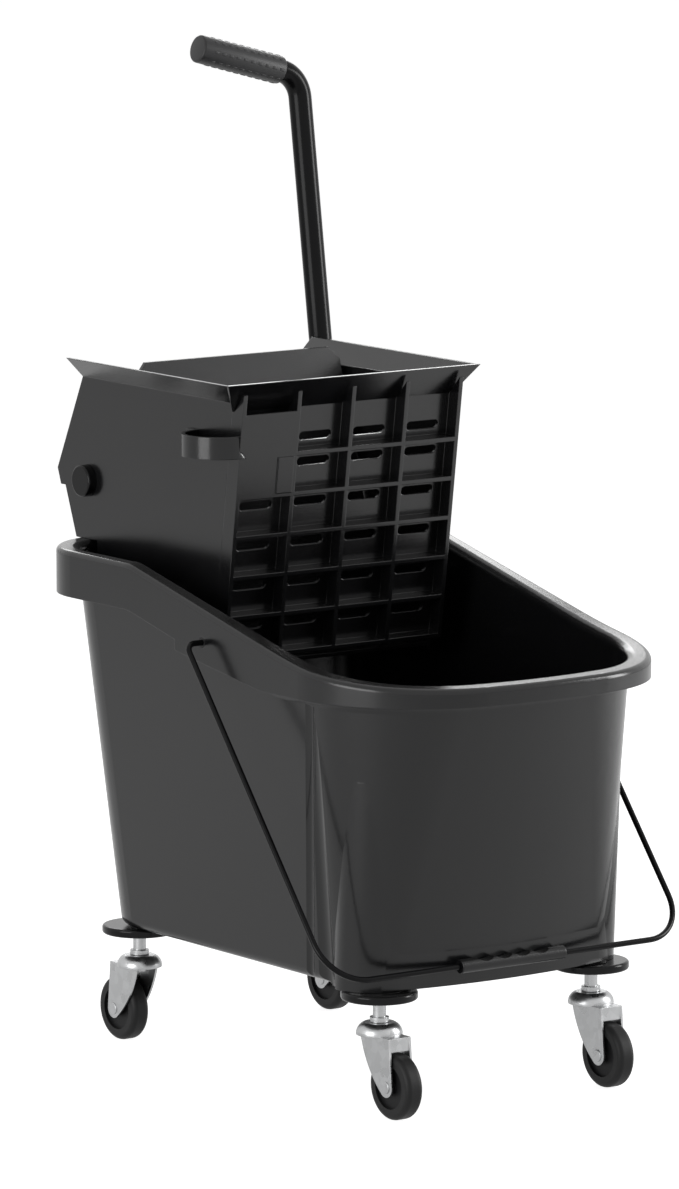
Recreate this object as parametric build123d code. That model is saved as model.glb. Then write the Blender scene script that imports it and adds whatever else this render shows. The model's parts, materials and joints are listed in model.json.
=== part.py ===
from build123d import *
import math
import os

# Mop bucket with a down-press wringer, in millimetres.
# +Z is up, X is the width, the low front rim is at -Y and the wringer is at +Y.
# Z = 0 is the floor under the caster wheels. Places along Y are counted from a place between the casters,
# and the finished part is moved so that its origin is at the middle of its length.

# Bucket shell
base_height = 115.0
base_half_width = 144.5
base_front = -224.7
base_rear = 211.5
base_corner = 56.0
base_front_corner = 40.0
base_edge_round = 9.0
floor_thickness = 4.0
wall = 3.5
rim_half_width = 181.5
rim_front = -294.0
rim_rear = 277.0
rim_corner = 75.0
rim_front_corner = 130.0
rim_overhang = 14.5
rim_front_overhang = 5.0
rim_rear_overhang = 19.5
front_bow_radius = 580.0
rim_rear_height = 467.0
rim_front_height = 394.0
rim_slope_front = -207.0
rim_slope_rear = 107.5
rim_bend_radius = 60.0
rim_step = 32.0
band_rear_depth = 43.0
band_front_depth = 17.0
band_step_drop = 10.0
band_level_start = -102.0
band_level_bend = 120.0
band_flare_round = 9.0
rim_edge_round = 5.0
rim_inner_round = 7.5
edge_tolerance = 0.01

# Corner posts, flutes and inside ledges
post_radius = 34.0
post_top = 305.0
post_drop = 1.5
post_inset_x = 3.0
front_post_inset = 18.0
front_post_lean = 10.0
rear_post_inset = 27.0
plinth_step = 2.2
plinth_front_step = 5.5
plinth_top = 165.0
socket_boss_radius = 13.0
socket_roof = 6.0
flute_radius = 24.0
flute_depth = 4.0
flute_rim_gap = 28.0
flute_offset = 44.0
groove_low_offset = 70.5
groove_high_offset = 49.0
groove_radius = 11.0
groove_depth = 2.4
groove_rim_gap = 26.0
ledge_drop = 37.0
ledge_thickness = 12.0
ledge_reach = 14.0
ledge_front = 112.0

# Casters
caster_half_track = 119.0
caster_front = -199.0
caster_rear = 182.0
wheel_diameter = 60.0
wheel_width = 18.0
hub_diameter = 40.0
hub_recess = 3.0
hub_boss_diameter = 14.0
tyre_round = 5.0
caster_trail = 26.0
axle_diameter = 6.0
axle_cap_diameter = 11.0
axle_cap_height = 1.0
fork_gap = 1.2
fork_leg = 2.0
fork_top = 74.5
fork_rear = 12.5
fork_front = 31.0
fork_boss_radius = 9.0
fork_back_bulge = 5.0
fork_web_height = 12.5
cup_diameter = 42.0
cup_top_diameter = 28.0
cup_bulge = 1.6
cup_top = 84.5
cup_height = 11.0
stem_diameter = 12.0
stem_depth = 40.0
collar_diameter = 17.5
collar_height = 4.5
swivel_pin_diameter = 8.0
swivel_head_diameter = 14.0
swivel_head_height = 3.0
disc_diameter = 69.5
disc_thickness = 8.0
disc_round = 2.5
running_gap = 0.05
side_gap = 0.3

# Bail
bail_pivot_y = -12.0
bail_pivot_drop = 30.0
bail_side_gap = 17.5
bail_length = 356.0
bail_wire = 5.4
bail_corner = 42.0
bail_eye_corner = 9.0
bail_eye_depth = 16.0
bail_bush_diameter = 10.0
bail_grip_length = 116.0
bail_grip_radius = 6.4
bail_grip_hollows = 4
bail_grip_hollow_pitch = 20.5
bail_grip_hollow_radius = 17.5
bail_grip_hollow_depth = 3.0
bail_grip_round = 1.0
bail_wall_gap = 0.4

# Wringer hopper, with its heights counted from the rim's rear stretch
hopper_half_width = 123.3
panel_thickness = 3.5
fold_rise = 152.0
fold_front = 5.0
lip_rise = 18.7
lip_flare = 18.5
panel_rear = 266.0
grid_lean = 7.9
grid_bottom_drop = 87.0
grid_columns = 4
grid_rows = 6
grid_row_pitch = 37.75
rib_thickness = 4.0
rib_depth = 14.0
grid_plate = 3.0
lip_start = 10.0
slot_length = 36.0
slot_width = 8.0
slot_inset = 6.0
pad_thickness = 4.0
pad_block_width = 17.0
pad_block_height = 34.0
pad_block_step = 1.5
panel_bottom_drop = 101.0
panel_bottom_rear = 150.0
panel_knee_drop = 27.0
bulge_rear = 309.0
bulge_rise = 62.0
bulge_foot_rise = 47.0
bulge_foot = 303.5
bulge_step = 7.5
panel_foot = 278.0
rim_hook_gap = 2.5
hanger_end_gap = 6.0
hanger_wall_gap = 5.0
hanger_thickness = 6.0
hopper_floor_drop = 93.0
hopper_floor_thickness = 4.0
floor_slots = 9
floor_slot_width = 9.0
cover_thickness = 3.0
cover_inset = 1.0
tie_diameter = 12.0
tie_y = 185.0
tie_drop = 55.0
tie_head_diameter = 16.0
tie_head_height = 4.0

# Mop-handle loop
loop_centre_y = 45.0
loop_radius = 34.0
loop_thickness = 3.5
loop_height = 20.5
loop_rise = 102.0
loop_tab = 12.0

# Press mechanism
pivot_y = 259.0
pivot_rise = 55.0
shaft_diameter = 16.0
bush_diameter = 26.0
bush_flange_diameter = 34.0
bush_flange = 3.0
cap_diameter = 30.0
cap_height = 8.0
cap_gap = 0.6
cap_round = 2.0
gear_module = 4.0
pinion_teeth = 16
pressure_angle = 20.0
mesh_gap = 0.7
tooth_height = 3.5
tooth_root = 4.8
pinion_width = 16.0
pinion_offset = 100.0
rack_width = 13.0
rack_base = 11.0
rack_front_teeth = 1
rack_rear_teeth = 3
rail_thickness = 5.0
rail_gap = 0.3
rail_front = 170.0
plate_top_rise = 171.0
plate_top_y = 190.0
plate_lean = 17.0
plate_thickness = 4.0
plate_half_width = 114.0
plate_corner = 10.0
plate_floor_gap = 2.0
plate_rib = 12.0
plate_rib_thickness = 3.5
plate_ribs = 7
plate_cross_ribs = 4

# Lever
lever_offset = 155.0
lever_lean = 8.3
lever_tube = 22.0
lever_wall = 2.0
lever_corner_rise = 415.6
lever_bend = 28.0
lever_grip_tilt = 15.2
lever_grip_length = 96.0
lever_grip_diameter = 27.5
lever_grip_end = 5.0
hub_length = 30.0
hub_outer = 38.0
hub_sleeve = 30.0
hub_sleeve_length = 62.0
hub_tube_start = 16.0
hub_bolt_diameter = 6.0
hub_bolt_height = 44.0
hub_bolt_head = 11.0
hub_bolt_head_height = 4.0
hub_panel_gap = 10.0
hub_nut_diameter = 22.0
hub_nut_height = 7.0

# Return springs
spring_offset = 55.0
spring_rise = 108.0
spring_wire = 1.6
spring_radius = 5.5
spring_turns = 22
spring_pitch = 2.2
spring_bend = 2.4
spring_bar_diameter = 8.0
spring_bar_y = 274.0
spring_end_gap = 0.2
spring_lug = 10.0
spring_lug_reach = 15.0

# Places that follow from the rim
flute_top = rim_front_height - flute_rim_gap
groove_top = rim_front_height - groove_rim_gap
ledge_height = rim_rear_height - ledge_drop
bail_half_width = rim_half_width + bail_side_gap
fold_height = rim_rear_height + fold_rise
grid_bottom = rim_rear_height - grid_bottom_drop
panel_bottom = rim_rear_height - panel_bottom_drop
panel_knee_height = rim_rear_height - panel_knee_drop
bulge_height = rim_rear_height + bulge_rise
bulge_foot_height = rim_rear_height + bulge_foot_rise
hopper_floor_top = rim_rear_height - hopper_floor_drop
tie_z = rim_rear_height - tie_drop
loop_low = rim_rear_height + loop_rise
pivot_z = rim_rear_height + pivot_rise
plate_top = rim_rear_height + plate_top_rise
lever_corner_height = rim_rear_height + lever_corner_rise
spring_z = rim_rear_height + spring_rise

nodes = {}


def side_solid(points, low, high):
    """A flat outline in Y and Z, given depth along X from low to high."""
    return Plane.YZ.offset(low) * extrude(make_face(Polyline(*points, close=True)), high - low)


def rod(start, end, diameter):
    """A round bar between two points."""
    axis = Vector(*end) - Vector(*start)
    return extrude(Plane(origin=start, z_dir=axis) * Circle(diameter / 2), axis.length)


def block(low, high):
    """A box between two corners."""
    size = [b - a for a, b in zip(low, high)]
    middle = [(a + b) / 2 for a, b in zip(low, high)]
    return Pos(*middle) * Box(*size)


def outline(half_width, front, rear, corner, front_corner, height):
    """The bucket's plan at one height: straight sides and rear, bowed front, round corners."""
    bow_y = front + front_bow_radius
    reach = front_bow_radius - front_corner
    front_x = half_width - front_corner
    corner_y = bow_y - math.sqrt(reach**2 - front_x**2)
    share = front_bow_radius / reach
    meet = (front_x * share, bow_y + (corner_y - bow_y) * share)
    turn = math.atan2(meet[1] - corner_y, meet[0] - front_x) / 2
    front_mid = (front_x + front_corner * math.cos(turn), corner_y + front_corner * math.sin(turn))
    rear_x = half_width - corner
    rear_mid = (rear_x + corner * math.sqrt(0.5), rear - corner + corner * math.sqrt(0.5))
    bow_turn = math.asin(meet[0] / front_bow_radius) / 2
    bow_mid = (front_bow_radius * math.sin(bow_turn), bow_y - front_bow_radius * math.cos(bow_turn))
    half = [
        ThreePointArc((0, front), bow_mid, meet),
        ThreePointArc(meet, front_mid, (half_width, corner_y)),
        Line((half_width, corner_y), (half_width, rear - corner)),
        ThreePointArc((half_width, rear - corner), rear_mid, (rear_x, rear)),
        Line((rear_x, rear), (0, rear)),
    ]
    mirrored = [edge.mirror(Plane.YZ) for edge in half]
    return Pos(0, 0, height) * make_face(half + mirrored)


# Plan sizes of the wall at the base and at the top, from which any height follows
wall_top = rim_rear_height + 10
top_half_width = rim_half_width - rim_overhang
top_front = rim_front + rim_front_overhang
top_rear = rim_rear - rim_rear_overhang
top_corner = rim_corner - rim_overhang


def wall_size(height, inset):
    """Half width, front, rear, rear corner radius and front corner radius of the wall at a height."""
    share = (height - base_height) / (wall_top - base_height)

    def between(low, high):
        return low + (high - low) * share

    return (
        between(base_half_width, top_half_width) - inset,
        between(base_front, top_front) + inset,
        between(base_rear, top_rear) - inset,
        between(base_corner, top_corner) - inset,
        between(base_front_corner, rim_front_corner) - inset,
    )


# The rim rises from its front end in one long bend, then straight up to the level stretch at the rear
rim_rise = rim_rear_height - rim_front_height
rim_bend_start = rim_front - rim_overhang
rim_slope = math.atan2(rim_rise, rim_slope_rear - rim_slope_front)
front_bend_run = rim_slope_front - rim_bend_start
front_bend_radius = front_bend_run / math.tan(rim_slope / 2)
front_bend_stop = rim_slope_front + front_bend_run * math.cos(rim_slope)


def rim_height(y):
    """Height of the rim's top at a place along the bucket."""
    if y < front_bend_stop:
        run = max(y - rim_bend_start, 0)
        return rim_front_height + front_bend_radius - math.sqrt(front_bend_radius**2 - run**2)
    share = (y - rim_slope_front) / (rim_slope_rear - rim_slope_front)
    return rim_front_height + rim_rise * min(share, 1)


bail_pivot_z = rim_height(bail_pivot_y) - bail_pivot_drop


def below_front_band():
    """Everything lower than the front band, whose lower edge is level and climbs to the step at its rear."""
    level = rim_front_height - band_front_depth
    step_low = rim_height(rim_step) - band_rear_depth - band_step_drop
    low_edge = [(rim_bend_start, level), (band_level_start, level), (rim_step, step_low)]
    top = FilletPolyline(*low_edge, radius=band_level_bend)
    rest = Polyline((rim_step, step_low), (rim_step, 0), (rim_bend_start, 0), (rim_bend_start, level))
    return across_bucket(make_face(top.edges() + rest.edges()))


def below_profile(drop):
    """Everything lower than the rim's side profile, moved down by drop."""
    rear_end = rim_rear + rim_overhang
    low_end = (rim_bend_start, rim_front_height - drop)
    bend_end = (front_bend_stop, rim_height(front_bend_stop) - drop)
    high_end = (rear_end, rim_rear_height - drop)
    bend = TangentArc(low_end, bend_end, tangent=(1, 0))
    slope = FilletPolyline(bend_end, (rim_slope_rear, rim_rear_height - drop), high_end, radius=rim_bend_radius)
    rest = Polyline(high_end, (rear_end, 0), (rim_bend_start, 0), low_end)
    return across_bucket(make_face(bend.edges() + slope.edges() + rest.edges()))


def across_bucket(side_face):
    """A side view's face drawn out over more than the bucket's width."""
    far = rim_half_width + rim_overhang
    return Plane.YZ.offset(-far) * extrude(side_face, 2 * far)


caster_places = {
    "front_left": (-caster_half_track, caster_front, -1),
    "front_right": (caster_half_track, caster_front, -1),
    "rear_left": (-caster_half_track, caster_rear, 1),
    "rear_right": (caster_half_track, caster_rear, 1),
}
disc_top = base_height - post_drop
stem_top = disc_top + stem_depth


def ledge_end():
    """Where the rounded rear corners start inside, at the ledges' height."""
    rear, corner = wall_size(ledge_height, wall)[2:4]
    return rear - corner


def make_bucket_shell():
    """Tapered tub with a stepped rim, corner posts, caster sockets, bail bosses and hanger ledges."""
    tub = loft([outline(*wall_size(base_height, 0), base_height), outline(*wall_size(wall_top, 0), wall_top)])
    tub = fillet(tub.faces().sort_by(Axis.Z)[0].edges(), base_edge_round)

    # Rim band: hollow behind the step, flared out of the wall in front of it
    rim_plan = outline(rim_half_width, rim_front, rim_rear, rim_corner, rim_front_corner, 0)
    below_rim = below_profile(0)
    band = extrude(rim_plan, wall_top) & below_rim
    band = fillet(band.edges().filter_by(is_rim_edge), rim_edge_round)
    far = 2 * rim_half_width
    ahead = block((-far, rim_front - far, 0), (far, rim_step, wall_top))
    behind = block((-far, rim_step, 0), (far, rim_rear + far, wall_top))
    front_band = (band - below_front_band()) & ahead
    rear_band = (band - below_profile(band_rear_depth)) & behind
    skin_plan = outline(
        rim_half_width - wall, rim_front + wall, rim_rear - wall, rim_corner - wall, rim_front_corner - wall, 0)
    rear_hollow = ((extrude(skin_plan, wall_top) & below_profile(wall)) & behind) - tub

    front_half = (tub + front_band) & below_rim
    crease = [edge for edge in front_half.edges().filter_by(is_under_band)
              if tub.distance_to(Vertex(edge @ 0.5)) < edge_tolerance]
    front_half = fillet(crease, band_flare_round)
    shell = front_half + rear_band

    # Posts over the casters and an upright plinth in front, which the leaning walls overtake higher up
    for x, y, trail in caster_places.values():
        post_x = x - math.copysign(post_inset_x, x)
        post_y = y + front_post_inset if y < 0 else y - rear_post_inset
        lean_y = post_y - front_post_lean if y < 0 else post_y
        low_end = Pos(post_x, post_y, disc_top) * Circle(post_radius)
        shell += loft([low_end, Pos(post_x, lean_y, post_top) * Circle(post_radius)])
    flute_y = caster_front + flute_offset
    rear_and_corners = wall_size(base_height, -plinth_step)[2:]
    plinth_plan = outline(
        base_half_width + plinth_step, base_front - plinth_front_step, *rear_and_corners, base_height)
    plinth = extrude(plinth_plan, plinth_top - base_height)
    shell += plinth & block((-far, rim_front, 0), (far, flute_y, wall_top))

    # The inside, with upright flutes beside the front posts and a narrow groove behind each
    floor_z = base_height + floor_thickness
    inside = loft([outline(*wall_size(floor_z, wall), floor_z), outline(*wall_size(wall_top, wall), wall_top)])
    flute_low = base_half_width + flute_radius - flute_depth
    flute_high = wall_size(flute_top, 0)[0] + flute_radius
    groove_low = base_half_width + groove_radius - groove_depth
    groove_high = wall_size(groove_top, 0)[0] + groove_radius - groove_depth
    groove_low_y = caster_front + groove_low_offset
    groove_high_y = caster_front + groove_high_offset
    cut_bottom = base_height - base_edge_round
    for side in (-1, 1):
        flute = ((side * flute_low, flute_y, cut_bottom), (side * flute_high, flute_y, flute_top))
        groove = ((side * groove_low, groove_low_y, cut_bottom), (side * groove_high, groove_high_y, groove_top))
        shell -= rod(*flute, 2 * flute_radius)
        shell -= rod(*groove, 2 * groove_radius)
        inside -= rod(*flute, 2 * (flute_radius + wall))
        inside -= rod(*groove, 2 * (groove_radius + wall))

    # Socket bosses left standing inside, and the ledges that carry the wringer
    sockets = [
        rod((x, y, disc_top), (x, y, stem_top + socket_roof), 2 * socket_boss_radius)
        for x, y, trail in caster_places.values()
    ]
    ledge_half = wall_size(ledge_height, wall)[0]
    for side in (-1, 1):
        ledge = block((ledge_half - ledge_reach, ledge_front, ledge_height - ledge_thickness),
                      (ledge_half + wall, ledge_end(), ledge_height))
        inside -= ledge if side > 0 else ledge.mirror(Plane.YZ)
    for socket in sockets:
        inside -= socket
    shell -= inside
    mouth = [edge for edge in shell.edges().filter_by(is_rim_top_edge)
             if inside.distance_to(Vertex(edge @ 0.5)) < edge_tolerance]
    shell = fillet(mouth, rim_inner_round)
    shell -= rear_hollow
    for x, y, trail in caster_places.values():
        shell -= rod((x, y, disc_top), (x, y, stem_top), stem_diameter + 2 * running_gap)
    for side in (-1, 1):
        shell -= rod(
            (side * (rim_half_width - bail_eye_depth), bail_pivot_y, bail_pivot_z),
            (side * rim_half_width, bail_pivot_y, bail_pivot_z),
            bail_bush_diameter,
        )
    return shell


def is_rim_edge(edge):
    """True for the outer edge round the rim's top."""
    middle = edge @ 0.5
    return abs(middle.Z - rim_height(middle.Y)) < rim_edge_round and middle.Z > rim_front_height - rim_edge_round


def is_rim_top_edge(edge):
    """True for an edge at the height of the rim's top."""
    middle = edge @ 0.5
    return middle.Z > rim_height(middle.Y) - rim_edge_round


def is_under_band(edge):
    """True for an edge of the front band's underside."""
    middle = edge @ 0.5
    lowest = rim_front_height - band_front_depth - edge_tolerance
    return lowest < middle.Z < rim_height(middle.Y) - rim_edge_round and middle.Y < rim_step - edge_tolerance


def bell(skin):
    """A bell-shaped cup about the Z axis, smaller by skin all round."""
    low = cup_top - cup_height
    high = cup_top - skin
    top_radius = cup_top_diameter / 2 - skin
    low_radius = cup_diameter / 2 - skin
    middle = ((top_radius + low_radius) / 2 + cup_bulge, (low + high) / 2 + cup_bulge)
    with_axis = Polyline((low_radius, low), (0, low), (0, high), (top_radius, high))
    curve = ThreePointArc((top_radius, high), middle, (low_radius, low))
    return revolve(Plane.XZ * make_face(with_axis.edges() + [curve]), Axis.Z)


def make_cup():
    """The pressed cup over a caster's swivel."""
    return bell(0) - bell(fork_leg)


def make_fork_legs(x, y, trail, inner, outer):
    """A folded bracket under the cup: a top, two side plates that taper to the axle, and a web in front."""
    radius = wheel_diameter / 2
    sweep_way = Vector(fork_rear + caster_trail, radius - fork_top).normalized()
    tangent = Vector(caster_trail, radius) + Vector(sweep_way.Y, -sweep_way.X) * fork_boss_radius
    start = Vector(-fork_rear, fork_top)
    bulge = (start + tangent) * 0.5 + Vector(sweep_way.Y, -sweep_way.X) * fork_back_bulge
    front = caster_trail + fork_boss_radius
    back = ThreePointArc(tuple(start)[:2], tuple(bulge)[:2], tuple(tangent)[:2])
    boss = ThreePointArc(tuple(tangent)[:2], (caster_trail, radius - fork_boss_radius), (front, radius))
    rest = Polyline((front, radius), (fork_front, fork_top), (-fork_rear, fork_top))
    side = make_face([back, boss] + rest.edges())
    plan = Plane(origin=(0, 0, 0), x_dir=(0, 1, 0), z_dir=(1, 0, 0))
    legs = Pos(inner, 0, 0) * extrude(plan * side, outer - inner)
    legs += Pos(-outer, 0, 0) * extrude(plan * side, outer - inner)
    legs += block((-outer, -fork_rear, fork_top - fork_leg), (outer, fork_front, fork_top))
    legs += block((-outer, fork_front - fork_leg, fork_top - fork_web_height), (outer, fork_front, fork_top))
    if trail < 0:
        legs = legs.mirror(Plane.XZ)
    return Pos(x, y, 0) * legs


def make_casters():
    """Four stem casters, the front pair trailing forwards and the rear pair backwards."""
    made = {}
    radius = wheel_diameter / 2
    fork_inner = wheel_width / 2 + fork_gap
    fork_outer = fork_inner + fork_leg
    for name, (x, y, trail) in caster_places.items():
        axle_y = y + trail * caster_trail

        disc = Pos(x, y, disc_top - disc_thickness / 2) * Cylinder(disc_diameter / 2, disc_thickness)
        disc = fillet(disc.edges(), disc_round)
        disc -= rod((x, y, 0), (x, y, disc_top), stem_diameter + 2 * running_gap)
        made["bumper_disc_" + name] = disc

        stem = rod((x, y, cup_top + side_gap + collar_height), (x, y, stem_top), stem_diameter)
        stem += rod((x, y, cup_top + side_gap), (x, y, cup_top + side_gap + collar_height), collar_diameter)
        pin_low = fork_top - fork_leg - side_gap
        stem += rod((x, y, pin_low), (x, y, cup_top + side_gap), swivel_pin_diameter)
        stem += rod((x, y, pin_low - swivel_head_height), (x, y, pin_low), swivel_head_diameter)
        made["caster_stem_" + name] = stem

        fork = Pos(x, y, 0) * make_cup()
        fork += make_fork_legs(x, y, trail, fork_inner, fork_outer)
        fork -= rod((x, y, 0), (x, y, cup_top), swivel_pin_diameter + 2 * running_gap)
        fork -= rod((x - fork_outer, axle_y, radius), (x + fork_outer, axle_y, radius), axle_diameter)
        made["caster_fork_" + name] = fork

        axle = rod((x - fork_outer, axle_y, radius), (x + fork_outer, axle_y, radius), axle_diameter)
        for side in (-1, 1):
            start = x + side * fork_outer
            cap = rod((start, axle_y, radius), (start + side * axle_cap_height, axle_y, radius), axle_cap_diameter)
            outer_edge = cap.edges().sort_by(Axis.X)[-1 if side > 0 else 0]
            axle += fillet(outer_edge, axle_cap_height * 0.6)
        made["caster_axle_" + name] = axle

        half = wheel_width / 2
        hub = rod((x - half + hub_recess, axle_y, radius), (x + half - hub_recess, axle_y, radius), hub_diameter)
        hub += rod((x - half - fork_gap + side_gap, axle_y, radius),
                   (x + half + fork_gap - side_gap, axle_y, radius), hub_boss_diameter)
        bore = axle_diameter + 2 * running_gap
        hub -= rod((x - fork_outer, axle_y, radius), (x + fork_outer, axle_y, radius), bore)
        made["wheel_hub_" + name] = hub

        tyre = rod((x - half, axle_y, radius), (x + half, axle_y, radius), wheel_diameter)
        tyre = fillet(tyre.edges().filter_by(GeomType.CIRCLE), tyre_round)
        tyre -= rod((x - half, axle_y, radius), (x + half, axle_y, radius), hub_diameter)
        made["tyre_" + name] = tyre
    return made


def bail_rest_angle():
    """Angle of the bail from straight down, where its grip lies against the plinth."""
    reach = bail_pivot_y - base_front + plinth_front_step + bail_grip_radius + bail_wall_gap
    return math.asin(reach / bail_length)


def make_bail():
    """Wire bail with its ends in the rim bushes, and a grip on its crossbar with finger hollows that face up."""
    made = {}
    angle = bail_rest_angle()
    down = Vector(0, -math.sin(angle), -math.cos(angle))
    bail_plane = Plane(origin=(0, bail_pivot_y, bail_pivot_z), x_dir=(1, 0, 0), z_dir=Vector(1, 0, 0).cross(down))
    eye_end = rim_half_width - bail_eye_depth + side_gap
    path = FilletPolyline(
        (-eye_end, 0), (-bail_half_width, 0), (-bail_half_width, bail_length),
        (bail_half_width, bail_length), (bail_half_width, 0), (eye_end, 0),
        radius=[bail_eye_corner, bail_corner, bail_corner, bail_eye_corner],
    )
    section = Plane(origin=path @ 0, z_dir=path % 0) * Circle(bail_wire / 2)
    made["bail_wire"] = bail_plane * sweep(section, path)

    half = bail_grip_length / 2
    grip = rod((-half, bail_length, 0), (half, bail_length, 0), 2 * bail_grip_radius)
    grip = fillet(grip.edges().filter_by(GeomType.CIRCLE), bail_grip_round)
    upright = Pos(0, bail_length, 0) * Rot(math.degrees(angle), 0, 0)
    hollow_y = bail_grip_hollow_depth - bail_grip_radius - bail_grip_hollow_radius
    for i in range(bail_grip_hollows):
        x = (i - (bail_grip_hollows - 1) / 2) * bail_grip_hollow_pitch
        start = (x, hollow_y, -bail_grip_radius)
        end = (x, hollow_y, bail_grip_radius)
        grip -= upright * rod(start, end, 2 * bail_grip_hollow_radius)
    grip -= rod((-half, bail_length, 0), (half, bail_length, 0), bail_wire)
    made["bail_grip"] = bail_plane * grip

    for side, name in ((-1, "left"), (1, "right")):
        face = side * rim_half_width
        start = (side * (rim_half_width - bail_eye_depth), bail_pivot_y, bail_pivot_z)
        end = (face, bail_pivot_y, bail_pivot_z)
        bush = rod(start, end, bail_bush_diameter)
        made["bail_bush_" + name] = bush - rod(start, end, bail_wire + 2 * running_gap)
    return made


lean = math.radians(grid_lean)
grid_length = (fold_height - grid_bottom) / math.cos(lean)
grid_frame = Plane(
    origin=(0, fold_front, fold_height), x_dir=(1, 0, 0), z_dir=(0, -math.cos(lean), -math.sin(lean))
)
panel_inner = hopper_half_width - panel_thickness
grid_back = rib_depth + grid_plate
lip_height = lip_rise / math.cos(lean)
lip_half_width = hopper_half_width + lip_flare


def grid_point(depth, height):
    """Y and Z of a place behind the grid's front, at a height along its lean."""
    return (
        fold_front + depth * math.cos(lean) - height * math.sin(lean),
        fold_height + depth * math.sin(lean) + height * math.cos(lean),
    )


def level_strip(half_width, height, back, front):
    """A strip across the grid at one height, from back to front."""
    corners = [(-half_width, height, back), (half_width, height, back),
               (half_width, height, front), (-half_width, height, front)]
    return make_face(Polyline(*corners, close=True))


def make_front_grid():
    """Leaning front panel: ribs before a slotted plate, a flared lip above and a flush pad for the loop."""
    plate = block((-hopper_half_width, -grid_length, -grid_back), (hopper_half_width, -lip_start, -rib_depth))
    low = level_strip(hopper_half_width, -lip_start, -grid_back, -rib_depth)
    high = level_strip(lip_half_width, lip_height, -grid_plate, 0)
    panel = plate + loft([low, high], ruled=True)

    column = (2 * hopper_half_width - rib_thickness) / grid_columns
    rib_x = [-hopper_half_width + rib_thickness / 2 + i * column for i in range(grid_columns + 1)]
    rib_side = [(0, -grid_length), (-rib_depth, -grid_length), (-rib_depth, -lip_start), (0, lip_height - lip_start)]
    for x in rib_x:
        profile = Plane.YZ * make_face(Polyline(*[(height, depth) for depth, height in rib_side], close=True))
        panel += Pos(x - rib_thickness / 2, 0, 0) * extrude(profile, rib_thickness)
    row_edges = [-grid_length + i * grid_row_pitch for i in range(grid_rows)]
    for height in row_edges:
        panel += block((-hopper_half_width, height, -rib_depth), (hopper_half_width, height + rib_thickness, 0))

    # Drain slots: low in the tall top row, high in the others
    for i in range(grid_columns):
        middle = (rib_x[i] + rib_x[i + 1]) / 2
        for row in range(grid_rows):
            low_edge = row_edges[row] + rib_thickness
            if row == grid_rows - 1:
                height = low_edge + slot_inset + slot_width / 2
            else:
                height = low_edge + grid_row_pitch - rib_thickness - slot_inset - slot_width / 2
            slot = extrude(SlotOverall(slot_length, slot_width), 3 * grid_plate, both=True)
            panel -= Pos(middle, height, -rib_depth) * slot

    # The pad is flush with the rib fronts and open at the back
    pad_low = row_edges[grid_rows - 2]
    pad_right = rib_x[1] - rib_thickness / 2
    pad_left = rib_x[0] + rib_thickness / 2
    window = block((pad_left, pad_low + rib_thickness, -grid_back - grid_plate),
                   (pad_right, -lip_start - rib_thickness, -pad_thickness))
    panel -= window
    panel += block((pad_left, pad_low + rib_thickness, -pad_thickness), (pad_right, -lip_start, 0))
    block_low = pad_low + rib_thickness
    panel += block((pad_right - pad_block_width, block_low, -pad_thickness),
                   (pad_right, block_low + pad_block_height, pad_block_step))
    return grid_frame * panel


def hook_y():
    """Where the side panels step down inside the bucket's rear corners."""
    half_width = wall_size(panel_knee_height, wall)[0]
    rear, corner = wall_size(panel_knee_height, wall)[2:4]
    into_corner = max(hopper_half_width - (half_width - corner), 0)
    return rear - corner + math.sqrt(corner**2 - into_corner**2) - rim_hook_gap


def make_side_panel(front_grid):
    """Right side panel: flared lip, rear bulge, hook over the rear rim, hanger flange and rack rail."""
    outline_points = [
        grid_point(grid_back, -grid_length),
        grid_point(grid_back, 0),
        (panel_rear, fold_height),
        (bulge_rear, bulge_height),
        (bulge_foot, bulge_foot_height),
        (bulge_foot - bulge_step, bulge_foot_height),
        (panel_foot, rim_rear_height),
        (hook_y(), rim_rear_height),
        (hook_y(), panel_knee_height),
        (panel_bottom_rear, panel_bottom),
        (grid_point(grid_back, -grid_length)[0], panel_bottom),
    ]
    panel = side_solid(outline_points, panel_inner, hopper_half_width)
    lip_front = grid_point(0, lip_height)[0]
    seam = grid_point(grid_back, -lip_start)[0]
    top_middle = lip_half_width - panel_thickness / 2
    base_middle = hopper_half_width - panel_thickness / 2
    low = Pos(base_middle, (seam + panel_rear) / 2, fold_height) * Rectangle(panel_thickness, panel_rear - seam)
    high = Pos(top_middle, (lip_front + panel_rear) / 2, fold_height + lip_rise)
    high = high * Rectangle(panel_thickness, panel_rear - lip_front)
    panel += loft([low, high], ruled=True)
    hanger_outer = wall_size(ledge_height, wall)[0] - hanger_wall_gap
    panel += block((hopper_half_width, ledge_front + hanger_end_gap, ledge_height),
                   (hanger_outer, ledge_end() - hanger_end_gap, ledge_height + hanger_thickness))
    rail_top = pivot_z - gear_module * pinion_teeth / 2 - tooth_root - rack_base - rail_gap
    rail_inner = pinion_offset - rack_width / 2
    panel += block((rail_inner, rail_front, rail_top - rail_thickness), (panel_inner, panel_foot, rail_top))
    panel -= rod((0, pivot_y, pivot_z), (lip_half_width, pivot_y, pivot_z), bush_diameter)
    panel -= rod((0, tie_y, tie_z), (lip_half_width, tie_y, tie_z), tie_diameter)
    return panel - front_grid


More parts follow.
